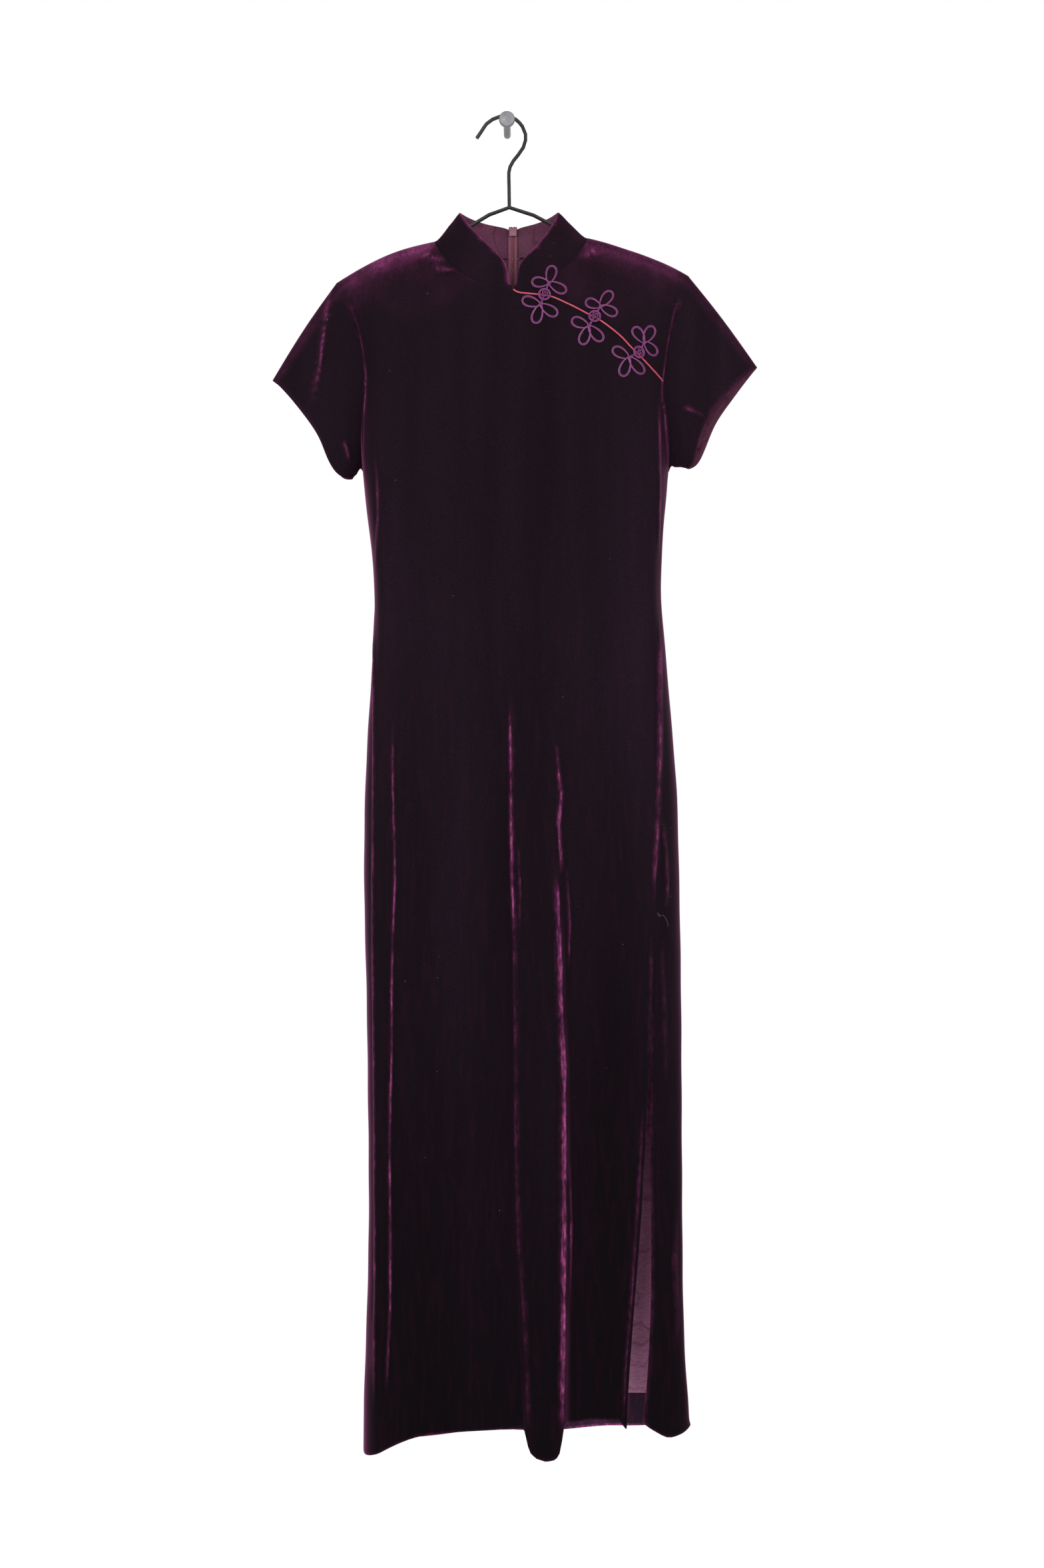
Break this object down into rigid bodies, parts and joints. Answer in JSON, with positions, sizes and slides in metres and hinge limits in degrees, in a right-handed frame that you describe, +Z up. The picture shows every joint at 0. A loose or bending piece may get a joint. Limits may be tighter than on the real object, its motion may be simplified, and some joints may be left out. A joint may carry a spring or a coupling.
{
  "type": "maxi dress on a wire hanger held by a wall peg",
  "caption": "Long short-sleeved velvet dress with a stand collar, diagonal placket with cord frogs and a side slit, hung on a bent wire hanger from a round-headed wall peg.",
  "frame": {"origin": "centre of the peg's back face, where the peg meets the wall", "axes": "+X towards the right of the picture, +Y into the wall, away from the viewer, +Z up"},
  "size_m": [0.547, 0.1177, 1.5058],
  "materials": {
    "velvet": "dark purple velvet with a magenta sheen at grazing angles",
    "lining": "thin mauve satin",
    "cord": "purple satin cord",
    "piping": "rose satin piping",
    "zip_tape": "brownish rose woven tape",
    "zip_metal": "rose enamel",
    "wire": "glossy black coating",
    "peg_paint": "grey paint"
  },
  "bodies": {
    "root": {"back_left": "velvet", "back_right": "velvet", "collar_left": "velvet", "collar_right": "velvet", "frog_1_knot": "cord", "frog_1_loop": "cord", "frog_2_knot": "cord", "frog_2_loop": "cord", "frog_3_knot": "cord", "frog_3_loop": "cord", "front_panel": "velvet", "front_yoke": "velvet", "hanger": "wire", "lining_back_left": "lining", "lining_back_right": "lining", "lining_skirt": "lining", "lining_sleeve_right": "lining", "placket_piping": "piping", "sleeve_left": "velvet", "sleeve_right": "velvet", "wall_peg": "peg_paint", "zip_slider": "zip_metal", "zip_tape_left": "zip_tape", "zip_tape_right": "zip_tape"},
    "pull": {"zip_pull": "zip_metal"}
  },
  "joints": [
    {"name": "pull_hinge", "type": "hinge", "parent": "root", "child": "pull", "pos_m": [0.0065, -0.0064, -0.1155], "axis": [1, 0, 0], "range_deg": [0, 160]}
  ]
}
